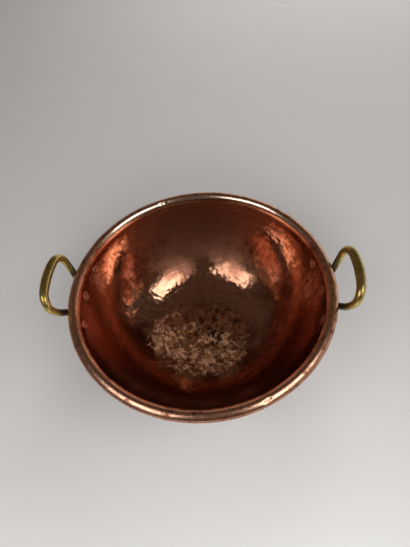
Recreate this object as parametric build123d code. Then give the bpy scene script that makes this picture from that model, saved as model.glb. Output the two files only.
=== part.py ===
from build123d import *
from math import acos, asin, cos, degrees, radians, sin
import os

# A round-bottomed copper jam pan with a rolled rim and two cast brass loop handles.
# Millimetres. Z is up, the origin is the centre of the flat base, and the handles stand on the X axis.

# Copper body
RIM_DIAMETER = 380.0
PAN_HEIGHT = 148.0
SHEET = 1.8
BASE_DIAMETER = 96.0
KNEE_TILT_DEG = 49.0
RIM_LEAN_DEG = 4.5

# Rolled rim and the iron rod inside it
ROD_DIAMETER = 11.0
ROD_CLEARANCE = 0.05
CURL_DEG = 309.0
ROD_BUTT_GAP = 0.8

# Rivets, three to a handle
RIVETS = ("rear", "middle", "front")
RIVET_DROP = 25.0
RIVET_SPACING = 49.0
SHANK_DIAMETER = 6.0
HEAD_DIAMETER = 15.0
HEAD_FLAT_DIAMETER = 8.5
HEAD_HEIGHT = 1.6
HEAD_EDGE = 0.4
PEEN_DIAMETER = 10.5
PEEN_HEIGHT = 2.6
HOLE_CLEARANCE = 0.05
SEAT_CLEARANCE = 0.05

# Handle base plate, which hugs the outside of the wall
PLATE_THICKNESS = 3.5
STRAP_HEIGHT = 15.0
LOBE_DIAMETER = 20.0
LOBE_BLEND_RADIUS = 5.0
PLATE_EDGE_RADIUS = 1.0

# Handle loop: a round bar that swells towards the middle of the grip
FOOT_SPACING = 41.0
FOOT_DIAMETER = 13.0
LEG_DIAMETER = 10.0
GRIP_DIAMETER = 13.5
LOOP_WIDTH = 85.4
LOOP_REACH = 23.4
LOOP_RISE = 25.0

# Half of the loop's centreline, from the foot to the middle of the grip. Each point has its place
# between the foot and the widest part, its share of the way out, and its share of the way up.
LOOP_PATH_SHARES = (
    (0.00, 0.00, 0.00),
    (0.55, 0.46, 0.20),
    (0.94, 0.68, 0.54),
    (0.96, 0.79, 0.78),
    (0.52, 0.90, 0.97),
    (-0.30, 0.98, 1.00),
)
# Shares along that half where sections stand, with how far the bar has swelled from leg to grip.
SECTION_SHARES = (
    (0.16, 0.00),
    (0.26, 0.00),
    (0.36, 0.03),
    (0.45, 0.12),
    (0.54, 0.30),
    (0.63, 0.52),
    (0.72, 0.72),
    (0.82, 0.88),
    (0.91, 0.97),
)
FOOT_FLARE_SHARE = 0.085
FLARED_SHARE = 0.2

# Sizes that follow from the ones above
CUT_OVERRUN = 10.0
BEAD_RADIUS = ROD_DIAMETER / 2 + ROD_CLEARANCE + SHEET
BEAD_CENTRE = Vector(RIM_DIAMETER / 2 - BEAD_RADIUS, PAN_HEIGHT - BEAD_RADIUS)
BASE_RADIUS = BASE_DIAMETER / 2


def wall_arcs():
    """Centres and radii of the two arcs of the inner wall, in the plane of radius and height.

    The first arc turns up from the flat base as far as the knee, where the wall has risen to KNEE_TILT_DEG
    above the horizontal. The second, tangent to it, runs on to the rim, where the wall leans out by
    RIM_LEAN_DEG. The two radii are the pair that joins the base to the rim.
    """
    knee, top = radians(KNEE_TILT_DEG), radians(TOP_TILT)
    rim_end = BEAD_CENTRE + Vector(-sin(top), cos(top)) * BEAD_RADIUS
    across, up = rim_end.X - BASE_RADIUS, rim_end.Y - SHEET
    low_across, low_up = sin(knee), 1 - cos(knee)
    high_across, high_up = sin(top) - sin(knee), cos(knee) - cos(top)
    both = low_across * high_up - low_up * high_across
    low_radius = (across * high_up - up * high_across) / both
    high_radius = (up * low_across - across * low_up) / both
    low_centre = Vector(BASE_RADIUS, SHEET + low_radius)
    high_centre = rim_end + Vector(-sin(top), cos(top)) * high_radius
    return low_centre, low_radius, high_centre, high_radius


TOP_TILT = 90 - RIM_LEAN_DEG
LOW_CENTRE, LOW_RADIUS, HIGH_CENTRE, HIGH_RADIUS = wall_arcs()

# The wall where the rivets go through it
RIVET_TILT = degrees(acos((HIGH_CENTRE.Y - PAN_HEIGHT + RIVET_DROP) / HIGH_RADIUS))
RIVET_WALL = HIGH_CENTRE + Vector(sin(radians(RIVET_TILT)), -cos(radians(RIVET_TILT))) * HIGH_RADIUS
RIVET_TURN = degrees(RIVET_SPACING / RIVET_WALL.X)
PLATE_FACE = SHEET + SEAT_CLEARANCE + PLATE_THICKNESS


def upright_face(outline):
    """The face inside a closed outline that was drawn with radius across and height up."""
    return make_face([Plane.XZ * edge for edge in outline])


def wall_line(offset):
    """The wall's line from the base's edge to the rim, moved outwards from the inner face by offset."""
    low = CenterArc(LOW_CENTRE, LOW_RADIUS + offset, -90, KNEE_TILT_DEG)
    high = CenterArc(HIGH_CENTRE, HIGH_RADIUS + offset, KNEE_TILT_DEG - 90, TOP_TILT - KNEE_TILT_DEG)
    return low, high


def bowl_envelope(offset):
    """The space inside the wall's line at an offset, from the base up to the height of the rim."""
    low, high = wall_line(offset)
    outline = [
        Line((0, (low @ 0).Y), low @ 0),
        low,
        high,
        Line(high @ 1, (0, (high @ 1).Y)),
        Line((0, (high @ 1).Y), (0, (low @ 0).Y)),
    ]
    return revolve(upright_face(outline), Axis.Z)


def rivet_planes():
    """A plane for each rivet of the right-hand handle, on the wall's inner face, facing outwards."""
    tilt = radians(RIVET_TILT)
    for index in range(len(RIVETS)):
        turn = radians(RIVET_TURN * (1 - index))
        around = Vector(cos(turn), sin(turn))
        origin = around * RIVET_WALL.X + Vector(0, 0, RIVET_WALL.Y)
        yield Plane(origin=origin, z_dir=around * sin(tilt) - Vector(0, 0, cos(tilt)))


def rivet_holes():
    """The six rivet holes' drills, long enough to pass the wall and a handle's plate."""
    radius = SHANK_DIAMETER / 2 + HOLE_CLEARANCE
    depth = PLATE_FACE + 2 * CUT_OVERRUN
    drill = Pos(0, 0, depth / 2 - CUT_OVERRUN) * Cylinder(radius, depth)
    right = [plane * drill for plane in rivet_planes()]
    return right + [Rot(0, 0, 180) * placed for placed in right]


def bowl():
    """The body: one sheet of copper, with a flat base, a rounded wall and a rim rolled over its rod."""
    inner_low, inner_high = wall_line(0)
    outer_low, outer_high = wall_line(SHEET)
    start = 180 - RIM_LEAN_DEG
    curl_outside = CenterArc(BEAD_CENTRE, BEAD_RADIUS, start, -CURL_DEG)
    curl_inside = CenterArc(BEAD_CENTRE, BEAD_RADIUS - SHEET, start, -CURL_DEG)
    outline = [
        Line((0, SHEET), inner_low @ 0),
        inner_low,
        inner_high,
        curl_outside,
        Line(curl_outside @ 1, curl_inside @ 1),
        curl_inside,
        outer_high,
        outer_low,
        Line(outer_low @ 0, (0, 0)),
        Line((0, 0), (0, SHEET)),
    ]
    return revolve(upright_face(outline), Axis.Z) - rivet_holes()


def rim_rod():
    """The iron rod inside the rolled rim, bent to a hoop whose ends nearly meet at the back."""
    gap = degrees(ROD_BUTT_GAP / BEAD_CENTRE.X)
    section = Plane.XZ * Pos(BEAD_CENTRE.X, BEAD_CENTRE.Y) * Circle(ROD_DIAMETER / 2)
    hoop = revolve(section, Axis.Z, revolution_arc=360 - gap)
    return Rot(0, 0, 90 + gap / 2) * hoop


def rivet():
    """A copper rivet on its own axis: height 0 is the wall's inner face, and the peened end is up.

    The underside of the head is rounded to sit in the hollow of the wall.
    """
    shank, head, peen = SHANK_DIAMETER / 2, HEAD_DIAMETER / 2, PEEN_DIAMETER / 2
    seat_radius = min(HIGH_RADIUS, RIVET_WALL.X / sin(radians(RIVET_TILT)))

    def seat(radius):
        return (radius, ((seat_radius - SEAT_CLEARANCE) ** 2 - radius**2) ** 0.5 - seat_radius)

    far = PLATE_FACE + SEAT_CLEARANCE
    underside = ThreePointArc(seat(shank), seat((shank + head) / 2), seat(head))
    edge_end = underside @ 1 - Vector(0, HEAD_EDGE)
    bevel_end = Vector(HEAD_FLAT_DIAMETER / 2, -SEAT_CLEARANCE - HEAD_HEIGHT)
    dome_radius = (peen**2 + PEEN_HEIGHT**2) / (2 * PEEN_HEIGHT)
    dome_middle = Vector(0, far + PEEN_HEIGHT - dome_radius)
    half_way = asin(peen / dome_radius) / 2
    outline = [
        underside,
        Line(underside @ 1, edge_end),
        Line(edge_end, bevel_end),
        Line(bevel_end, (0, bevel_end.Y)),
        Line((0, bevel_end.Y), (0, far + PEEN_HEIGHT)),
        ThreePointArc(
            (0, far + PEEN_HEIGHT),
            dome_middle + Vector(sin(half_way), cos(half_way)) * dome_radius,
            (peen, far),
        ),
        Line((peen, far), (shank, far)),
        Line((shank, far), underside @ 0),
    ]
    return revolve(upright_face(outline), Axis.Z)


def base_plate():
    """The right-hand handle's plate: a strap with a lobe at each rivet, bent to the outside of the wall."""
    spread = RIVET_WALL.X * sin(radians(RIVET_TURN))
    strap = SlotCenterToCenter(2 * spread, STRAP_HEIGHT)
    lobes = [Pos(place, 0) * Circle(LOBE_DIAMETER / 2) for place in (-spread, 0, spread)]
    flat = strap + lobes
    flat = fillet(flat.vertices(), LOBE_BLEND_RADIUS)
    plane = Plane.YZ * Pos(0, RIVET_WALL.Y - PLATE_FACE * cos(radians(RIVET_TILT)))
    prism = extrude(plane * flat, RIM_DIAMETER / 2)
    plate = prism & bowl_envelope(PLATE_FACE)
    plate = fillet(plate.faces().sort_by(Axis.X)[-1].edges(), PLATE_EDGE_RADIUS)
    return plate


def loop_line():
    """The right-hand loop's centreline, from the rear foot over the grip to the front foot."""
    tilt = radians(RIVET_TILT)
    into_plate = SHEET + SEAT_CLEARANCE + PLATE_THICKNESS / 2
    half_foot, half_width = FOOT_SPACING / 2, LOOP_WIDTH / 2
    foot_radius = RIVET_WALL.X + into_plate * sin(tilt)
    foot_out = (foot_radius**2 - half_foot**2) ** 0.5
    foot_up = RIVET_WALL.Y - into_plate * cos(tilt)
    grip_out = RIM_DIAMETER / 2 + LOOP_REACH
    grip_up = PAN_HEIGHT + LOOP_RISE
    half = [
        Vector(
            foot_out + (grip_out - foot_out) * out,
            half_foot + (half_width - half_foot) * aside,
            foot_up + (grip_up - foot_up) * up,
        )
        for aside, out, up in LOOP_PATH_SHARES
    ]
    middle = Vector(grip_out, 0, grip_up)
    mirrored = [Vector(point.X, -point.Y, point.Z) for point in reversed(half)]
    return Spline(*half, middle, *mirrored)


def loop():
    """The round bar of the right-hand handle, flared where it grows out of the plate."""
    line = loop_line()
    out_of_plane = Vector(1, 0, -0.5)
    swell = GRIP_DIAMETER - LEG_DIAMETER
    flare = LEG_DIAMETER + (FOOT_DIAMETER - LEG_DIAMETER) * FLARED_SHARE
    half = [(0.0, FOOT_DIAMETER), (FOOT_FLARE_SHARE, flare)]
    half += [(share, LEG_DIAMETER + swell * grown) for share, grown in SECTION_SHARES]
    stations = [(share / 2, size) for share, size in half]
    stations += [(0.5, GRIP_DIAMETER)]
    stations += [(1 - share / 2, size) for share, size in reversed(half)]
    sections = [
        Plane(origin=line @ share, x_dir=out_of_plane, z_dir=line % share) * Circle(size / 2)
        for share, size in stations
    ]
    return loft(sections)


def handle():
    """The right-hand handle: one brass casting of plate and loop, drilled for its rivets."""
    return base_plate() + loop() - bowl_envelope(SHEET + SEAT_CLEARANCE) - rivet_holes()


def build():
    """Every piece of the pan, by name."""
    pieces = {"bowl": bowl(), "rim_rod": rim_rod(), "handle_right": handle()}
    pieces["handle_left"] = Rot(0, 0, 180) * pieces["handle_right"]
    for name, plane in zip(RIVETS, rivet_planes()):
        placed = plane * rivet()
        pieces[f"rivet_right_{name}"] = placed
    for name, opposite in zip(RIVETS, reversed(RIVETS)):
        pieces[f"rivet_left_{name}"] = Rot(0, 0, 180) * pieces[f"rivet_right_{opposite}"]
    return pieces


os.makedirs("parts", exist_ok=True)
for node, solid in build().items():
    solid.label = node
    export_step(solid, f"parts/{node}.step")
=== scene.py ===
import math

import bpy
import numpy as np
from mathutils import Matrix, Vector, kdtree, noise


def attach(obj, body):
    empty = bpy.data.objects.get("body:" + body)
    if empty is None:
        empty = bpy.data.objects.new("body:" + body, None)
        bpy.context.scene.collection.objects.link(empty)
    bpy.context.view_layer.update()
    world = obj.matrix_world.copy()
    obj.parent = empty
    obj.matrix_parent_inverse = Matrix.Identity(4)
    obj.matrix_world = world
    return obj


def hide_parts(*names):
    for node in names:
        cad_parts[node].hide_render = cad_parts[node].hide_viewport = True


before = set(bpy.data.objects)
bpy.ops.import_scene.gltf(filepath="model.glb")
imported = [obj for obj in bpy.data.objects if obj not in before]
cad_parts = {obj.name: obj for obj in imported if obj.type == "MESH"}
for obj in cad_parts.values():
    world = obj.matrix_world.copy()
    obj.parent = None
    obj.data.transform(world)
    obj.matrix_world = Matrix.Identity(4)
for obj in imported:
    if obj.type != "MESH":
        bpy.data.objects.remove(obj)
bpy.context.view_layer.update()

MM = 0.001
rng = np.random.default_rng(11)

# The bowl's section, in millimetres, as the frame has it
SHEET = 1.8
RIM_R, RIM_TOP = 190.0, 148.0
BASE_R = 48.0
KNEE = math.radians(49.0)  # the slope where the wall's low arc meets its high one
TOP = math.radians(85.5)  # the slope where the wall passes into the rolled rim
ROLL_R = 7.35
ROLL_MIDDLE = np.array([RIM_R - ROLL_R, RIM_TOP - ROLL_R])
ROLL_TURN = math.radians(309.0)  # how far the sheet goes around the rod

# The strip under the rolled rim, where the sheet was turned out: how far it stands in, and how far
# under the roll it starts and is full
THROAT = 0.75
THROAT_SPAN = (17, 3)
# Flatter strips along the rolled rim, one outside its top and one inside: the way each faces, its
# width in degrees and its flatness
ROLL_FLATS = ((63, 12, 9.5), (129, 9, 9.0))

# The bowl mesh's grid: millimetres between the wall's rings, the roll's rings and points in the
# longest rings. A ring is one of four kinds
INNER_STEP, OUTER_STEP = 1.72, 4.0
ROLL_TOP_RINGS, ROLL_UNDER_RINGS, HOLLOW_RINGS = 28, 9, 12
RIM_POINTS = 480
INSIDE, ROLL, HOLLOW, OUTSIDE = range(4)

# Hammer blows: the distance between them low on the wall, how much it grows higher up, and how far
# a blow curves the sheet, in millimetres at a millimetre from its middle
BLOW_PITCH, WIDER_PITCH = 8.0, 6.0
BLOW_CURVE = 0.009
# Around a rivet the marks start at the first distance and are full at the second. Under the rolled
# rim they fade over the length RIM_CALM
RIVET_CALM = (7.0, 16.0)
RIM_CALM = 18

# Where many small blows overlap: the middle of each place, its radius and how hard the blows were
BEATEN = (
    (Vector((-119, 39, 32)), 40.0, 1.35),
    (Vector((40, -72, 8)), 16.0, 0.7),
    (Vector((108, 108, 80)), 48.0, 0.6),
    (Vector((-139, 82, 98)), 42.0, 0.45),
)

# Nicks in the rolled rim: the azimuth and the way each faces, in degrees
NICK_PLACES = ((113, 135), (111, 140), (295.5, 60), (297, 75), (357.5, 80), (351, 85), (213, 95))
NICK_DEPTH, NICK_REACH = 0.9, 2.2

# The rivets: their height, the distance between two neighbours and a head's points around
RIVET_UP, RIVET_PITCH = 123.0, 49.0
RIVET_POINTS = 40
# A rivet's (radius, height) from the middle of its head inside the bowl to its peened end, in millimetres
RIVET_OUTLINE = (
    (0, -0.52), (1.5, -0.54), (3.0, -0.60), (4.0, -0.70), (4.6, -0.86), (5.1, -1.02), (5.7, -1.10),
    (6.3, -1.02), (6.8, -0.80), (7.15, -0.54), (7.35, -0.34), (7.42, -0.20), (7.30, -0.15),
    (5.0, -0.12), (3.0, -0.08), (3.0, 5.35), (5.10, 5.38), (5.22, 5.55), (5.1, 5.95), (4.6, 6.6),
    (3.7, 7.25), (2.5, 7.7), (1.2, 7.92), (0, 7.98),
)

# Where the wall was rubbed bright, and where hands left a veil on it: middle and reach, in metres
POLISHED = (
    ((0.106, 0.106, 0.078), 0.062),
    ((-0.139, 0.082, 0.098), 0.046),
    ((-0.119, 0.039, 0.032), 0.046),
)
HANDLED = (((0.166, 0.016, 0.106), 0.042), ((-0.162, 0.044, 0.112), 0.034))
SCRIBED_R = 0.047

# Colours in linear light. Where there are two, the surface varies between them
CLEAN = ((0.72, 0.375, 0.235), (0.60, 0.29, 0.175))
CLEAN_STREAK, CLEAN_STAIN = (0.40, 0.200, 0.125), (0.36, 0.165, 0.095)
RUBBED, RUBBED_STROKE = (0.86, 0.54, 0.40), (0.34, 0.150, 0.090)
DULL = ((0.34, 0.135, 0.080), (0.24, 0.090, 0.052))
# Painted shade for the wall's front, darker on the left than on the right
DULL_FRONT_LEFT_SHADE = ((0.19, 0.052, 0.023), (0.125, 0.033, 0.015))
DULL_FRONT_RIGHT_SHADE = ((0.29, 0.088, 0.044), (0.20, 0.060, 0.030))
# Plum tarnish for the back of the wall, made lighter as a painted sheen where it faces the lamps
DULL_BACK_PAINTED_SHEEN = ((0.66, 0.295, 0.190), (0.48, 0.205, 0.120))
DRIP, SMEAR, VEIL = (0.12, 0.040, 0.021), (0.12, 0.050, 0.032), (0.70, 0.42, 0.33)
PATCH = ((0.37, 0.170, 0.085), (0.12, 0.038, 0.016))
FLAKE = ((0.92, 0.50, 0.34), (0.80, 0.44, 0.19))
PIT, SCRIBED = (0.012, 0.008, 0.007), (0.05, 0.03, 0.02)
ROLLED = ((0.43, 0.165, 0.090), (0.24, 0.092, 0.050))
# The crown of the roll is rubbed copper, lighter partly as a painted highlight
# The lip inside the rim is painted light: an orange painted reflection at the front, a pale painted
# highlight at the back
CROWN_RUBBED_AND_HIGHLIGHT, LIP_FRONT_PAINTED_REFLECTION, LIP_BACK_PAINTED_HIGHLIGHT = (0.80, 0.45, 0.300), (0.98, 0.44, 0.26), (0.96, 0.68, 0.54)
SMOKED = ((0.50, 0.27, 0.185), (0.24, 0.13, 0.09))
RIVET = ((0.54, 0.260, 0.165), (0.36, 0.165, 0.105))
RIVET_WORN = (0.78, 0.48, 0.38)
BRASS = ((0.72, 0.54, 0.18), (0.50, 0.375, 0.11))
# The second colour darkens the handles' feet towards the bowl
BRASS_DULL, FOOT_DARK_GREEN = (0.30, 0.25, 0.10), (0.035, 0.048, 0.036)
IRON = ((0.20, 0.18, 0.16), (0.16, 0.09, 0.05))
FLOOR = ((0.76, 0.757, 0.75), (0.82, 0.817, 0.81))
CEILING = (0.074, 0.054, 0.042)
HORIZON = ((0.11, 0.100, 0.092), (0.85, 0.80, 0.75))
BRIGHT_SIDE = (0.83, 0.55, 0.0)

# The camera that was fitted to the photograph, whose frame is 410 x 547 pixels
FRAME_HIGH = 547
SENSOR = 36
FOCAL = 411.0
CENTRE_SHIFT = (-4.008, 12.723)
ELEVATION, AZIMUTH, ROLL_ANGLE = math.radians(55.946), math.radians(7.4), math.radians(7.546)
DISTANCE = 3.081 * RIM_R * MM
TARGET_UP = 141.85 * MM


def smooth(x, lo, hi):
    """0 at lo, 1 at hi and a soft step between them."""
    t = min(1.0, max(0.0, (x - lo) / (hi - lo)))
    return t * t * (3 - 2 * t)


def lumps(v, scale, shift=(0, 0, 0)):
    """Soft noise around 0. A larger scale makes its lumps smaller."""
    return noise.noise(v * scale + Vector(shift))


def wall_arcs():
    """The middle and radius of the inner wall's low arc and of its high one."""
    rim_end = ROLL_MIDDLE + ROLL_R * np.array([-math.sin(TOP), math.cos(TOP)])
    across, up = rim_end[0] - BASE_R, rim_end[1] - SHEET
    low_across, low_up = math.sin(KNEE), 1 - math.cos(KNEE)
    high_across, high_up = math.sin(TOP) - math.sin(KNEE), math.cos(KNEE) - math.cos(TOP)
    both = low_across * high_up - low_up * high_across
    low_r = (across * high_up - up * high_across) / both
    high_r = (up * low_across - across * low_up) / both
    high_middle = rim_end + high_r * np.array([-math.sin(TOP), math.cos(TOP)])
    return np.array([BASE_R, SHEET + low_r]), low_r, high_middle, high_r


LOW_MIDDLE, LOW_R, HIGH_MIDDLE, HIGH_R = wall_arcs()
LOW_END = BASE_R + LOW_R * KNEE
WALL_LEN = LOW_END + HIGH_R * (TOP - KNEE)

RIVET_TILT = math.acos((HIGH_MIDDLE[1] - RIVET_UP) / HIGH_R)
RIVET_OUT = HIGH_MIDDLE[0] + HIGH_R * math.sin(RIVET_TILT)


def wall_at(s):
    """(radius, height) and inward normal of the inner wall at arc length s from the centre."""
    if s <= BASE_R:
        return np.array([s, SHEET]), np.array([0.0, 1.0])
    if s <= LOW_END:
        slope, middle, radius = (s - BASE_R) / LOW_R, LOW_MIDDLE, LOW_R
    else:
        slope, middle, radius = KNEE + (s - LOW_END) / HIGH_R, HIGH_MIDDLE, HIGH_R
    out = np.array([math.sin(slope), -math.cos(slope)])
    return middle + radius * out, -out


def rivet_spot(side, place):
    """The direction from the axis and the middle of a rivet, where it passes the inner wall."""
    turn = RIVET_PITCH / RIVET_OUT * place * side + (0 if side == 1 else math.pi)
    around = Vector((math.cos(turn), math.sin(turn), 0))
    return around, around * RIVET_OUT + Vector((0, 0, RIVET_UP))


def on_roll(azimuth, angle):
    """A point on the rolled rim: angle 0 faces out, 90 is its top and 180 faces the pan's inside."""
    a, b = math.radians(azimuth), math.radians(angle)
    r = ROLL_MIDDLE[0] + ROLL_R * math.cos(b)
    return Vector((r * math.cos(a), r * math.sin(a), ROLL_MIDDLE[1] + ROLL_R * math.sin(b)))


RIVET_SPOTS = [rivet_spot(side, place)[1] for side in (1, -1) for place in (1, 0, -1)]
NICKS = [on_roll(*place) for place in NICK_PLACES]


def roll_section(count):
    """The top of the rolled rim from the wall out to its widest point: (normal's way, radius, height).

    Its curve is tight, with the two flatter strips that the hammer left.
    """
    samples = 600
    turn = np.linspace(0, math.pi / 2 + TOP, samples)
    facing = np.degrees(turn)
    bend = sum(flat * np.exp(-(((facing - way) / wide) ** 2)) for way, wide, flat in ROLL_FLATS)
    step = turn[1]
    outer = ROLL_MIDDLE[0] + ROLL_R
    inner = ROLL_MIDDLE[0] - ROLL_R * math.sin(TOP) - THROAT
    across = np.sum(bend * np.sin(turn)) * step
    bend = bend + (outer - inner - across) / (np.sum(np.sin(turn)) * step)
    r = outer - np.cumsum(bend * np.sin(turn)) * step
    z = np.cumsum(bend * np.cos(turn)) * step
    z += ROLL_MIDDLE[1] + ROLL_R - z.max()
    along = np.cumsum(bend)
    picks = [int(np.searchsorted(along, along[-1] * (1 - i / count))) for i in range(count)] + [0]
    return [(turn[k], r[k], z[k]) for k in (min(pick, samples - 1) for pick in picks)]


def points_around(r):
    """How many points a ring of the wall has, by its radius."""
    return RIM_POINTS if r > 95 else 240 if r > 45 else 120 if r > 21 else 60


def wall_rings(step, kind):
    """Rings up the inner wall, or up the outer one a sheet's thickness behind it."""
    count = int(WALL_LEN / step)
    for i in range(1, count + 1):
        s = WALL_LEN * i / (count + 1)
        p, normal = wall_at(s)
        if kind == OUTSIDE:
            p, normal = p - SHEET * normal, -normal
        yield (*p, *normal, s, kind, points_around(p[0]))


def ring_table():
    """Rings of the section: (radius, height, normal r, normal z, arc length, kind, points around)."""
    rings = list(wall_rings(INNER_STEP, INSIDE))
    under_end = 90 + math.degrees(TOP - ROLL_TURN)
    skin = roll_section(ROLL_TOP_RINGS)
    for t in np.radians(np.linspace(-12, under_end, ROLL_UNDER_RINGS)):
        skin.append((t, *(ROLL_MIDDLE + ROLL_R * np.array([math.cos(t), math.sin(t)]))))
    for i, (t, r, z) in enumerate(skin):
        rings.append((r, z, math.cos(t), math.sin(t), WALL_LEN + i, ROLL, RIM_POINTS))
    for i in range(HOLLOW_RINGS + 1):
        t = math.pi / 2 + TOP - ROLL_TURN * (1 - i / HOLLOW_RINGS)
        out = np.array([math.cos(t), math.sin(t)])
        p = ROLL_MIDDLE + (ROLL_R - SHEET) * out
        rings.append((*p, *-out, WALL_LEN, HOLLOW, RIM_POINTS if i == 0 else 240))
    return rings + list(wall_rings(OUTER_STEP, OUTSIDE))[::-1]


def blow_tree():
    """Where the hammer fell on the inside: (tree, how sharply each blow curves the sheet)."""
    spots, curve = [], []
    stray = 0.45
    s = 14.0
    while s < WALL_LEN - 4:
        p, _ = wall_at(s)
        pitch = BLOW_PITCH + WIDER_PITCH * smooth(s, 90, 200)
        count = max(6, int(2 * math.pi * p[0] / pitch))
        turn = rng.uniform(0, 2 * math.pi)
        for k in range(count):
            a = turn + 2 * math.pi * (k + rng.uniform(-stray, stray)) / count
            q, _ = wall_at(min(WALL_LEN, max(2.0, s + rng.uniform(-stray, stray) * pitch)))
            spots.append((q[0] * math.cos(a), q[0] * math.sin(a), q[1]))
            curve.append(rng.uniform(0.4, 1.6))
        s += pitch * 0.9
    tree = kdtree.KDTree(len(spots))
    for i, p in enumerate(spots):
        tree.insert(Vector(p), i)
    tree.balance()
    return tree, curve


def throat(s, v):
    """How far the wall stands in just under the rolled rim, in millimetres."""
    under = WALL_LEN - s
    uneven = 0.6 * lumps(v, 0.012, (6, 2, 7)) * smooth(under, 0, 4)
    return THROAT * (1 + uneven) * smooth(under, *THROAT_SPAN)


def lip_highlight(angle, v):
    """How strongly the turned-out strip inside the crease is painted with a highlight, from 0 to 1: in
    broken patches, and nearly everywhere at the back.
    """
    broken = 0.55 + 0.9 * lumps(v, 0.03, (8, 1, 3)) + 0.6 * lumps(v, 0.15)
    broken = max(min(1.0, broken), 0.0, 0.9 * smooth(v.y, 60, 115))
    return broken * smooth(angle, 116, 126)


def facets(v, s, blows):
    """The hollows of the hammer blows: crisp and shallow low down, deepest on the low wall, then soft."""
    tree, curve = blows
    near = [BLOW_CURVE * curve[i] * d * d for _, i, d in tree.find_n(v, 3)]
    low = min(near)
    crisp = 35 - 25 * smooth(s, 85, 125)
    cell = low - math.log(sum(math.exp((low - b) * crisp) for b in near)) / crisp
    force = 0.30 + 0.45 * smooth(s, 40, 75) - 0.66 * smooth(s, 100, 150)
    force *= min(1.8, max(0.15, 0.9 + 1.7 * lumps(v, 0.019, (3, 8, 1))))
    return (cell - 0.08) * force


def waves(v, s):
    """Uneven places of the wall, from a hand's width down to a fingertip's."""
    wave = 0.36 * lumps(v, 0.024) + 0.15 * lumps(v, 0.06, (7, 2, 5)) + 0.055 * lumps(v, 0.16, (4, 4, 1))
    beaten = max(hard * smooth((v - q).length, size, size * 0.4) for q, size, hard in BEATEN)
    wave += beaten * (0.30 * lumps(v, 0.085, (2, 2, 8)) + 0.17 * lumps(v, 0.17))
    wave *= 0.5 + 0.5 * smooth(s, 20, 70) - 0.5 * smooth(s, 130, 180)
    return wave + 0.5 * lumps(v, 0.0085, (1, 4, 9)) * smooth(s, 30, 110)


def dent(p, s, blows):
    """How far the sheet is moved inwards at an undented point, in millimetres."""
    v = Vector(p)
    calm = min(smooth((v - q).length, *RIVET_CALM) for q in RIVET_SPOTS)
    edge = 1 - smooth(s, WALL_LEN - RIM_CALM, WALL_LEN)
    return (facets(v, s, blows) + waves(v, s)) * calm * edge + throat(s, v) * (0.5 + 0.5 * calm)


def roll_dent(v, angle):
    """How far the rolled rim is moved outwards, in millimetres: below 0, so inwards, nearly everywhere."""
    nicks = sum(NICK_DEPTH * math.exp(-((v - q).length / NICK_REACH) ** 2) for q in NICKS)
    move = -0.12 - 0.16 * lumps(v, 0.04) - 0.08 * lumps(v, 0.13) - nicks
    return move * smooth(angle, 175.5, 160) if angle < 200 else move


def skin_point(ring, a, blows):
    """A point of the ring at angle a as it has been knocked about, and how much painted highlight its lip
    gets.
    """
    r, z, normal_r, normal_z, s, kind, _ = ring
    p = np.array([r * math.cos(a), r * math.sin(a), z])
    normal = np.array([normal_r * math.cos(a), normal_r * math.sin(a), normal_z])
    move = bright = 0.0
    if kind == INSIDE:
        move = dent(p, s, blows)
        if s > WALL_LEN - 8:
            bright = lip_highlight(180, Vector(p)) * smooth(WALL_LEN - s, 6.0, 2.0)
    elif kind == ROLL:
        angle = math.degrees(math.atan2(normal_z, normal_r)) % 360
        move = roll_dent(Vector(p), angle)
        bright = lip_highlight(angle, Vector(p)) if angle < 200 else 0.0
    elif kind == OUTSIDE:
        move = -dent(p - SHEET * normal, s, blows)
        if r < BASE_R + 2:
            move = min(move, 0) * 0.2
    x, y, z = p + move * normal
    return (x, y, max(z, 0.0)), bright


def strip(a0, na, b0, nb):
    """Faces between ring a (na points) and ring b (nb points), where one is the other or twice it."""
    faces = []
    for k in range(min(na, nb)):
        j = (k + 1) % min(na, nb)
        if na == nb:
            faces.append((a0 + k, a0 + j, b0 + j, b0 + k))
        elif nb == 2 * na:
            faces.append((a0 + k, b0 + 2 * k + 1, b0 + 2 * k))
            faces.append((a0 + k, a0 + j, b0 + 2 * k + 1))
            faces.append((a0 + j, b0 + (2 * k + 2) % nb, b0 + 2 * k + 1))
        else:
            faces.append((b0 + k, a0 + 2 * k, a0 + 2 * k + 1))
            faces.append((b0 + k, a0 + 2 * k + 1, b0 + j))
            faces.append((b0 + j, a0 + 2 * k + 1, a0 + (2 * k + 2) % na))
    return faces


def add(name, data):
    """A new object in the scene."""
    obj = bpy.data.objects.new(name, data)
    bpy.context.scene.collection.objects.link(obj)
    return obj


def mesh_object(name, verts, faces, sharp):
    """A smooth-shaded object from points in millimetres, with edges over sharp degrees kept."""
    mesh = bpy.data.meshes.new(name)
    mesh.from_pydata([tuple(c * MM for c in v) for v in verts], [], faces)
    mesh.validate()
    mesh.shade_smooth()
    mesh.set_sharp_from_angle(angle=math.radians(sharp))
    return add(name, mesh)


def mark(obj, name, values):
    """A number for each point, which the material reads."""
    obj.data.attributes.new(name, "FLOAT", "POINT").data.foreach_set("value", values)


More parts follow.
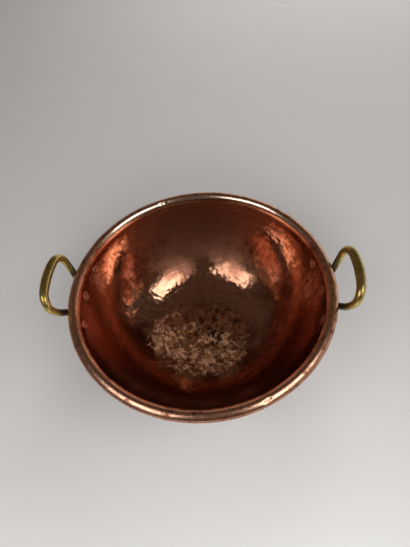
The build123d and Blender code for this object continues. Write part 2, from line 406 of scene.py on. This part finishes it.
def build_bowl():
    """The bowl's skin: the hammered inside, the rolled rim and the smoother outside, in one closed mesh."""
    rings, blows = ring_table(), blow_tree()
    verts = [(0.0, 0.0, SHEET + dent((0, 0, SHEET), 0, blows))]
    inner, bright, first, faces = [1.0], [0.0], [], []
    for ring in rings:
        s, kind, count = ring[4:]
        first.append(len(verts))
        side = 1.0 if kind == INSIDE or s - WALL_LEN < 3 and kind == ROLL else 0.5 if kind == ROLL else 0.0
        for k in range(count):
            point, shine = skin_point(ring, 2 * math.pi * k / count, blows)
            verts.append(point)
            bright.append(shine)
            inner.append(side)
    last = len(verts)
    verts.append((0.0, 0.0, 0.0))
    inner.append(0.0)
    bright.append(0.0)
    counts = [ring[-1] for ring in rings]
    for k in range(counts[0]):
        faces.append((0, first[0] + k, first[0] + (k + 1) % counts[0]))
    for i in range(len(rings) - 1):
        faces += strip(first[i], counts[i], first[i + 1], counts[i + 1])
    for k in range(counts[-1]):
        faces.append((last, first[-1] + (k + 1) % counts[-1], first[-1] + k))
    obj = mesh_object("bowl_skin", verts, faces, 50)
    mark(obj, "inner", inner)
    # The lip's painted highlight, from 0 to 1, which the material reads
    mark(obj, "lip_highlight", bright)
    return obj


def lathe(name, outline, count, wobble, seed):
    """A turned, slightly uneven piece from (radius, height) points, closed at both ends on the axis."""
    verts, faces = [], []
    off = Vector((seed * 13.7, seed * 5.1, seed * 3.3))
    for r, z in outline[1:-1]:
        for k in range(count):
            a = 2 * math.pi * k / count
            v = Vector((r * math.cos(a), r * math.sin(a), z))
            scale = 1 + wobble * lumps(v, 0.22, off) * min(1.0, r / 6)
            verts.append((v.x * scale, v.y * scale, z + wobble * 3.0 * lumps(v, 0.35, -off)))
    top = len(verts)
    verts.append((0, 0, outline[0][1]))
    verts.append((0, 0, outline[-1][1]))
    end = top - count
    for i in range(0, end, count):
        faces += strip(i, count, i + count, count)
    for k in range(count):
        j = (k + 1) % count
        faces.append((top, j, k))
        faces.append((top + 1, end + k, end + j))
    obj = mesh_object(name, verts, faces, 60)
    mark(obj, "worn", [smooth(-z, 0.66, 0.96) if z < 0 else smooth(z, 6.0, 7.2) for _, _, z in verts])
    return obj


def rivets():
    made = []
    for side, name in ((1, "right"), (-1, "left")):
        for k, place in ((1, "rear"), (0, "middle"), (-1, "front")):
            around, at = rivet_spot(side, k)
            axis = around * math.sin(RIVET_TILT) - Vector((0, 0, math.cos(RIVET_TILT)))
            obj = lathe(f"rivet_{name}_{place}_skin", RIVET_OUTLINE, RIVET_POINTS, 0.035, len(made) + 1)
            turn = axis.to_track_quat("Z", "Y").to_matrix().to_4x4()
            obj.data.transform(Matrix.Translation(at * MM) @ turn)
            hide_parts(f"rivet_{name}_{place}")
            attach(obj, "root")
            made.append(obj)
    return made


def softened(source):
    """A copy of a CAD node's mesh with its edges rounded, as a sand mould leaves them."""
    work = add("work", source.data.copy())
    grid = work.modifiers.new("grid", "REMESH")
    grid.mode = "VOXEL"
    grid.voxel_size = 0.75 * MM
    soft = work.modifiers.new("soft", "SMOOTH")
    soft.factor = 0.5
    soft.iterations = 8
    bpy.context.view_layer.update()
    depsgraph = bpy.context.evaluated_depsgraph_get()
    mesh = bpy.data.meshes.new_from_object(work.evaluated_get(depsgraph))
    bpy.data.objects.remove(work)
    return mesh


def casting(node, seed):
    """A softened, slightly uneven copy of a handle's solid."""
    mesh = softened(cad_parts[node])
    mesh.name = node + "_cast"
    count = len(mesh.vertices)
    co, normal = np.empty(count * 3), np.empty(count * 3)
    mesh.vertices.foreach_get("co", co)
    mesh.vertices.foreach_get("normal", normal)
    co, normal = co.reshape(-1, 3), normal.reshape(-1, 3)
    off = (seed * 3.1, seed * 7.7, 1.3)
    moved = [-0.06 + 0.16 * lumps(v, 90, off) + 0.05 * lumps(v, 300, off) for v in map(Vector, co)]
    mesh.vertices.foreach_set("co", (co + normal * np.array(moved)[:, None] * MM).ravel())
    mesh.materials.clear()
    mesh.shade_smooth()
    obj = add(node + "_cast", mesh)
    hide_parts(node)
    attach(obj, "root")
    return obj


class Nodes:
    """A node tree, written as calls."""

    def __init__(self, tree):
        self.tree = tree

    def put(self, socket, value):
        if hasattr(value, "is_output"):
            self.tree.links.new(value, socket)
        else:
            socket.default_value = value

    def node(self, kind, inputs=(), **props):
        n = self.tree.nodes.new(kind)
        for key, value in props.items():
            setattr(n, key, value)
        for key, value in dict(inputs).items():
            self.put(n.inputs[key], value)
        return n

    def split(self, at):
        return self.node("ShaderNodeSeparateXYZ", {0: at}).outputs

    def vector(self, op, a, b=(0, 0, 0), output=0):
        return self.node("ShaderNodeVectorMath", {0: a, 1: b}, operation=op).outputs[output]

    def math(self, op, a, b=0.0):
        return self.node("ShaderNodeMath", {0: a, 1: b}, operation=op).outputs[0]

    def times(self, first, *others):
        for other in others:
            first = self.math("MULTIPLY", first, other)
        return first

    def plus(self, first, *others):
        for other in others:
            first = self.math("ADD", first, other)
        return first

    def invert(self, value):
        return self.math("SUBTRACT", 1.0, value)

    def centred(self, value, reach):
        """Noise around a half, made into an offset around nothing."""
        return self.times(self.math("SUBTRACT", value, 0.5), reach)

    def noise(self, at, scale, detail, rough, distort=0.0):
        inputs = {"Vector": at, "Scale": scale, "Detail": detail, "Roughness": rough, "Distortion": distort}
        return self.node("ShaderNodeTexNoise", inputs).outputs["Fac"]

    def step(self, x, lo, hi, a=0.0, b=1.0):
        """From a at lo to b at hi, with a soft step between them."""
        ends = {"Value": x, "From Min": lo, "From Max": hi, "To Min": a, "To Max": b}
        return self.node("ShaderNodeMapRange", ends, interpolation_type="SMOOTHSTEP").outputs[0]

    def blend(self, fac, a, b, kind="FLOAT"):
        n = self.node("ShaderNodeMix", {"Factor": fac}, data_type=kind)
        self.put(n.inputs["A"], a)
        self.put(n.inputs["B"], b)
        return n.outputs["Result"]

    def mix(self, fac, a, b):
        """Two colours, each an output or three numbers."""
        a, b = [(*c, 1.0) if isinstance(c, tuple) else c for c in (a, b)]
        return self.blend(fac, a, b, "RGBA")


class Surface(Nodes):
    """A material's node tree around one Principled shader."""

    def __init__(self, name):
        self.mat = bpy.data.materials.new(name)
        self.mat.use_nodes = True
        super().__init__(self.mat.node_tree)
        self.tree.nodes.clear()
        out = self.node("ShaderNodeOutputMaterial")
        self.shader = self.node("ShaderNodeBsdfPrincipled")
        self.put(out.inputs[0], self.shader.outputs[0])
        self.at = self.node("ShaderNodeTexCoord").outputs["Object"]

    def set(self, **values):
        """Values of the shader's inputs, with _ for each space in an input's name."""
        for name, value in values.items():
            self.put(self.shader.inputs[name.replace("_", " ")], value)

    def attribute(self, name):
        return self.node("ShaderNodeAttribute", attribute_name=name).outputs["Fac"]

    def flat_length(self, at):
        """The distance from the upright axis."""
        flat = self.vector("MULTIPLY", at, (1, 1, 0))
        return self.vector("LENGTH", flat, output="Value")

    def bump(self, height, distance, strength, under=None):
        inputs = {"Height": height, "Distance": distance, "Strength": strength}
        if under is not None:
            inputs["Normal"] = under
        return self.node("ShaderNodeBump", inputs).outputs[0]


class Copper(Surface):
    """The bowl's material. The wall, the bottom's patch, the rim and the outside are layers of it."""

    def __init__(self):
        super().__init__("copper_body")
        inner = self.attribute("inner")
        self.inside = self.step(inner, 0.6, 0.9)
        self.outside = self.step(inner, 0.35, 0.1)
        self.roll = self.math("SUBTRACT", self.invert(self.inside), self.outside)
        self.cloud = self.noise(self.at, 22, 5, 0.6)
        self.blotch = self.noise(self.at, 80, 6, 0.65)
        self.x, self.y, self.height = self.split(self.at)
        self.radius = self.flat_length(self.at)
        self.off_axis = self.math("MAXIMUM", self.radius, 0.001)
        self.hoop = self.drawn_out(0.014, self.plus(self.height, self.off_axis))
        self.drip = self.drawn_out(0.16, self.times(self.height, 0.22))
        self.bands = self.noise(self.hoop, 170, 6, 0.7)
        self.wall_masks()
        self.patch_masks()
        colour, rough = self.wall(self.clean(), self.dull())
        colour, rough = self.patch(colour, rough)
        colour, rough = self.rim(colour, rough)
        colour, rough = self.back(colour, rough)
        ring = self.step(self.math("ABSOLUTE", self.math("SUBTRACT", self.radius, SCRIBED_R)), 0.0011, 0.0)
        ring = self.times(ring, self.inside, self.step(self.cloud, 0.32, 0.5))
        self.set(Base_Color=self.mix(self.times(ring, 0.8), colour, SCRIBED), Roughness=rough)
        self.set(Metallic=self.blend(self.times(self.flaked, self.tarnish), 1.0, 0.35))
        self.relief(ring)

    def drawn_out(self, around, up):
        """A place for noise whose streaks run around the pan where the first number is the small one."""
        x, y = [self.times(self.math("DIVIDE", side, self.off_axis), around) for side in (self.x, self.y)]
        return self.node("ShaderNodeCombineXYZ", {0: x, 1: y, 2: up}).outputs[0]

    def near(self, places, ragged, core):
        """1 in the core of any of the places and 0 beyond its reach, with a ragged edge."""
        found = 0.0
        for middle, reach in places:
            gap = self.plus(self.vector("DISTANCE", self.at, middle, "Value"), ragged)
            found = self.math("MAXIMUM", found, self.step(gap, reach, reach * core))
        return found

    def wall_masks(self):
        """Where the wall is dulled above the cleaner bottom, polished again, veiled, and seen behind."""
        smear = self.centred(self.cloud, 0.10)
        self.y_smeared = self.plus(self.y, smear)
        front = self.step(self.y, 0.030, -0.050, 0.0, 0.022)
        self.rise = self.step(self.plus(self.height, smear, front), 0.010, 0.042)
        self.behind = self.step(self.y_smeared, 0.07, 0.15)
        self.polished = self.near(POLISHED, self.centred(self.blotch, 0.07), 0.4)
        wall = self.times(self.rise, self.step(self.height, 0.144, 0.136))
        self.dulled = self.times(wall, self.invert(self.polished))
        fingers = self.step(self.noise(self.drip, 150, 7, 0.75), 0.42, 0.60, 0.1, 0.8)
        self.veil = self.times(self.near(HANDLED, self.centred(self.blotch, 0.05), 0.3), fingers)

    def clean(self):
        """Copper as it was scrubbed, with the streaks of it around the pan."""
        colour = self.mix(self.step(self.cloud, 0.35, 0.68), *CLEAN)
        streaks = self.step(self.noise(self.hoop, 110, 6, 0.7), 0.42, 0.72, 0.0, 0.45)
        colour = self.mix(streaks, colour, CLEAN_STREAK)
        stain = self.step(self.noise(self.at, 100, 8, 0.72, 0.4), 0.46, 0.62, 0.0, 0.6)
        colour = self.mix(stain, colour, CLEAN_STAIN)
        colour = self.mix(self.times(self.polished, self.rise), colour, RUBBED)
        strokes = self.step(self.noise(self.drip, 240, 7, 0.75, 0.5), 0.45, 0.60, 0.0, 0.75)
        return self.mix(self.times(self.polished, strokes), colour, RUBBED_STROKE)

    def dull(self):
        """Copper that has browned, with drips and smears. Towards the front it is darkened with painted
        shade, deepest on the left; at the back it is plum, lightened with a painted sheen.
        """
        banded = self.step(self.bands, 0.35, 0.65)
        left, right = self.mix(banded, *DULL_FRONT_LEFT_SHADE), self.mix(banded, *DULL_FRONT_RIGHT_SHADE)
        # Painted shade: the wall darkens towards the front, most on the left
        shaded = self.mix(self.step(self.x, -0.10, 0.08), left, right)
        colour = self.mix(self.step(self.y_smeared, 0.085, 0.0), self.mix(banded, *DULL), shaded)
        # At the back, plum tarnish lightened with a painted sheen
        colour = self.mix(self.behind, colour, self.mix(banded, *DULL_BACK_PAINTED_SHEEN))
        drips = self.step(self.noise(self.drip, 60, 7, 0.7), 0.42, 0.66, 0.0, 0.5)
        colour = self.mix(self.times(drips, self.blend(self.behind, 1.0, 0.25)), colour, DRIP)
        smears = self.step(self.noise(self.at, 46, 8, 0.74, 1.0), 0.46, 0.60, 0.0, 0.6)
        colour = self.mix(self.times(smears, self.invert(self.behind)), colour, SMEAR)
        return self.mix(self.veil, colour, VEIL)

    def wall(self, clean, dull):
        """The inside's two kinds of copper together: bright low down, satin at the back."""
        hazy = self.step(self.noise(self.at, 900, 3, 0.6), 0.5, 0.7)
        rough = self.blend(hazy, self.step(self.cloud, 0.3, 0.7, 0.06, 0.11), 0.20)
        rough = self.blend(self.dulled, rough, self.step(self.blotch, 0.3, 0.7, 0.15, 0.27))
        satin = self.times(self.dulled, self.math("MAXIMUM", self.behind, self.veil))
        rough = self.blend(satin, rough, self.step(self.bands, 0.3, 0.7, 0.34, 0.46))
        return self.mix(self.dulled, clean, dull), rough

    def patch_masks(self):
        """The bottom's crusted patch, its flakes of barer metal and its black pits."""
        shifted = self.vector("ADD", self.at, (0.010, 0.009, 0.0))
        self.patch_r = self.flat_length(self.vector("MULTIPLY", shifted, (1, 1.2, 1)))
        ragged = self.centred(self.noise(self.at, 230, 4, 0.6), 0.03)
        ragged = self.plus(self.centred(self.blotch, 0.05), ragged)
        self.tarnish = self.times(self.step(self.plus(self.patch_r, ragged), 0.090, 0.078), self.inside)
        forward = self.vector("DOT_PRODUCT", self.at, (-0.32, -0.947, 0.0), "Value")
        uneven = self.centred(self.noise(self.at, 45, 4, 0.6), 0.16)
        scuffed = self.step(self.plus(forward, uneven), -0.004, 0.020)
        big = self.step(self.noise(self.at, 62, 8, 0.66, 0.7), 0.42, 0.53)
        grain = self.step(self.noise(self.at, 190, 8, 0.72), 0.40, 0.58, 0.15, 1.0)
        arcs = self.step(self.noise(self.hoop, 250, 5, 0.7), 0.38, 0.52, 0.2, 1.0)
        self.flaked = self.times(big, grain, arcs, scuffed)
        pits = self.step(self.noise(self.at, 130, 5, 0.6, 0.15), 0.535, 0.59)
        gap = self.vector("DISTANCE", self.at, (0.020, 0.008, 0.0), "Value")
        self.pitted = self.times(pits, self.step(gap, 0.054, 0.034))

    def patch(self, colour, rough):
        """The patch laid over the bottom."""
        brown = self.mix(self.step(self.noise(self.at, 120, 8, 0.74), 0.38, 0.60), *PATCH)
        brown = self.mix(self.flaked, brown, self.mix(self.step(self.blotch, 0.42, 0.58), *FLAKE))
        brown = self.mix(self.times(self.pitted, 0.95), brown, PIT)
        rough = self.blend(self.tarnish, rough, self.blend(self.flaked, 0.46, 0.36))
        return self.mix(self.times(self.tarnish, 0.95), colour, brown), rough

    def rim(self, colour, rough):
        """The rolled rim, with its rubbed crown, lighter partly as a painted highlight, and the lip inside
        it, painted with a highlight.
        """
        rolled = self.mix(self.step(self.blotch, 0.35, 0.7), *ROLLED)
        # The crown: rubbed copper along the top of the roll, lighter partly as a painted highlight where
        # the lamps catch it
        crown_and_highlight = self.times(self.step(self.height, 0.1425, 0.1460), self.step(self.blotch, 0.70, 0.48))
        crown_and_highlight = self.times(crown_and_highlight, self.step(self.radius, 0.1778, 0.1792))
        colour = self.mix(self.roll, colour, self.mix(crown_and_highlight, rolled, CROWN_RUBBED_AND_HIGHLIGHT))
        rough = self.blend(self.roll, rough, self.step(self.blotch, 0.3, 0.7, 0.20, 0.32))
        # Painted light on the lip: an orange painted reflection at the front, a pale painted highlight at
        # the back
        lip_highlight_line = self.attribute("lip_highlight")
        bright = self.mix(self.step(self.y, 0.06, 0.11), LIP_FRONT_PAINTED_REFLECTION, LIP_BACK_PAINTED_HIGHLIGHT)
        rough = self.blend(lip_highlight_line, rough, self.step(self.y, 0.06, 0.11, 0.38, 0.16))
        return self.mix(lip_highlight_line, colour, bright), rough

    def back(self, colour, rough):
        """The outside, which the fire has smoked."""
        smoked = self.mix(self.step(self.cloud, 0.35, 0.65), *SMOKED)
        rough = self.blend(self.outside, rough, self.step(self.cloud, 0.3, 0.7, 0.28, 0.46))
        return self.mix(self.outside, colour, smoked), rough

    def relief(self, ring):
        """The crust and pits of the patch, the fine lines around the pan and the scribed ring."""
        crust = self.noise(self.at, 210, 7, 0.7, 0.6)
        crust = self.math("SUBTRACT", crust, self.times(self.pitted, 0.5))
        crusted = self.times(self.step(self.patch_r, 0.092, 0.060), self.inside)
        normal = self.bump(self.times(crust, crusted), 0.0026, 0.6)
        lines = self.times(self.noise(self.hoop, 900, 4, 0.7), self.blend(self.dulled, 0.25, 1.0))
        normal = self.bump(lines, 0.00006, 0.35, normal)
        self.set(Normal=self.bump(ring, -0.0004, 0.8, normal))


def rivet_copper():
    g = Surface("rivet_head")
    blotch = g.noise(g.at, 350, 5, 0.6)
    worn = g.times(g.attribute("worn"), g.step(blotch, 0.25, 0.5))
    dull = g.mix(g.step(blotch, 0.35, 0.7), *RIVET)
    g.set(Base_Color=g.mix(worn, dull, RIVET_WORN), Metallic=1.0)
    g.set(Roughness=g.blend(worn, g.step(blotch, 0.3, 0.7, 0.22, 0.36), 0.42))
    g.set(Normal=g.bump(g.noise(g.at, 700, 4, 0.6), 0.0006, 0.3))
    return g.mat


def brass():
    g = Surface("cast_brass")
    cloud = g.noise(g.at, 55, 5, 0.6)
    blotch = g.noise(g.at, 240, 5, 0.65)
    # Dark green-black towards where the handle meets the bowl
    near_bowl = g.plus(g.step(g.flat_length(g.at), 0.213, 0.195), g.centred(cloud, 0.9))
    near_bowl = g.step(near_bowl, 0.35, 1.1)
    metal = g.mix(g.step(cloud, 0.35, 0.68), *BRASS)
    metal = g.mix(g.times(g.step(blotch, 0.5, 0.75), 0.6), metal, BRASS_DULL)
    g.set(Base_Color=g.mix(g.times(near_bowl, 0.85), metal, FOOT_DARK_GREEN), Metallic=1.0)
    g.set(Roughness=g.blend(near_bowl, g.step(blotch, 0.3, 0.7, 0.24, 0.38), 0.5))
    g.set(Normal=g.bump(g.noise(g.at, 420, 6, 0.6), 0.0008, 0.25))
    return g.mat


def iron():
    g = Surface("iron_wire")
    scale = g.noise(g.at, 300, 5, 0.6)
    g.set(Base_Color=g.mix(g.step(scale, 0.4, 0.7), *IRON), Metallic=0.9)
    g.set(Roughness=g.step(scale, 0.3, 0.7, 0.45, 0.7))
    return g.mat


def floor_paint():
    g = Surface("floor_paint")
    g.set(Base_Color=g.mix(g.noise(g.at, 1.6, 2, 0.5), *FLOOR), Roughness=0.75, Specular_IOR_Level=0.2)
    return g.mat


def area_lamp(name, place, wide, high, power):
    lamp = bpy.data.lights.new(name, "AREA")
    lamp.shape = "RECTANGLE"
    lamp.size, lamp.size_y = wide, high
    lamp.energy = power
    obj = add(name, lamp)
    obj.location = place
    return obj


def softbox(name, azimuth, elevation, distance, wide, high, power):
    """A rectangular lamp that faces the pan. Azimuth is counted from +X, in degrees."""
    a, e = math.radians(azimuth), math.radians(elevation)
    way = Vector((math.cos(a) * math.cos(e), math.sin(a) * math.cos(e), math.sin(e)))
    obj = area_lamp(name, Vector((0, 0, 0.1)) + way * distance, wide, high, power)
    obj.rotation_mode = "QUATERNION"
    obj.rotation_quaternion = way.to_track_quat("Z", "Y")


def fill(name, place, size, power):
    """A broad lamp that lights the floor from above, and that polished metal doesn't mirror."""
    area_lamp(name, place, size, size, power).visible_glossy = False


def room():
    """A dim warm ceiling over a paler band near the horizon, as in a studio with light walls."""
    world = bpy.data.worlds.new("room")
    bpy.context.scene.world = world
    world.use_nodes = True
    g = Nodes(world.node_tree)
    way = g.node("ShaderNodeTexCoord").outputs["Generated"]
    side = g.vector("DOT_PRODUCT", way, BRIGHT_SIDE, "Value")
    band = g.mix(g.step(side, -0.2, 0.9), *HORIZON)
    sky = g.mix(g.step(g.split(way)[2], 0.10, 0.42), band, CEILING)
    g.put(g.tree.nodes["Background"].inputs[0], sky)


def square_floor(half):
    """A square floor. Half is the distance from its middle to its sides, in metres."""
    mesh = bpy.data.meshes.new("floor")
    corners = [(-half, -half, 0), (half, -half, 0), (half, half, 0), (-half, half, 0)]
    mesh.from_pydata(corners, [], [(0, 1, 2, 3)])
    mesh.materials.append(floor_paint())
    return add("floor", mesh)


def camera():
    """The fitted camera. Its tip off the target stands in for the photograph's off-centre crop."""
    around, up = math.cos(ELEVATION), math.sin(ELEVATION)
    back = np.array([math.sin(AZIMUTH) * around, -math.cos(AZIMUTH) * around, up])
    across = np.cross([0, 0, 1.0], back)
    across /= np.linalg.norm(across)
    basis = np.array([across, np.cross(back, across), back])
    c, s = math.cos(ROLL_ANGLE), math.sin(ROLL_ANGLE)
    spin = np.array([[c, -s, 0], [s, c, 0], [0, 0, 1.0]])
    aim = Vector((CENTRE_SHIFT[0], -CENTRE_SHIFT[1], -FOCAL)).normalized()
    tip = np.array(Vector((0, 0, -1)).rotation_difference(aim).to_matrix())
    turn = Matrix((tip @ spin @ basis).T.tolist())
    cam = bpy.data.cameras.new("camera")
    cam.sensor_width = SENSOR
    cam.lens = FOCAL / FRAME_HIGH * SENSOR
    cam.clip_start, cam.clip_end = 0.01, 50
    obj = add("camera", cam)
    place = Vector(back * DISTANCE) + Vector((0, 0, TARGET_UP))
    obj.matrix_world = Matrix.Translation(place) @ turn.to_4x4()
    bpy.context.scene.camera = obj


body = build_bowl()
body.data.materials.append(Copper().mat)
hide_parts("bowl")
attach(body, "root")

head = rivet_copper()
for piece in rivets():
    piece.data.materials.append(head)

metal = brass()
for seed, node in enumerate(("handle_left", "handle_right"), 1):
    casting(node, seed).data.materials.append(metal)

wire = iron()
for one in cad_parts["rim_rod"].material_slots:
    one.material = wire

floor = square_floor(4)
softbox("softbox_left", -138, 48, 2.2, 1.28, 0.90, 9.0)
softbox("softbox_right", -29, 50, 2.2, 1.28, 0.90, 11.2)
fill("fill_front", (0.10, -0.95, 0.65), 0.7, 8.0)
fill("fill_back", (0.50, 1.80, 1.5), 1.0, 15.5)
room()
camera()

view = bpy.context.scene.view_settings
view.view_transform = "Standard"
view.look = "None"
view.exposure = 0.0
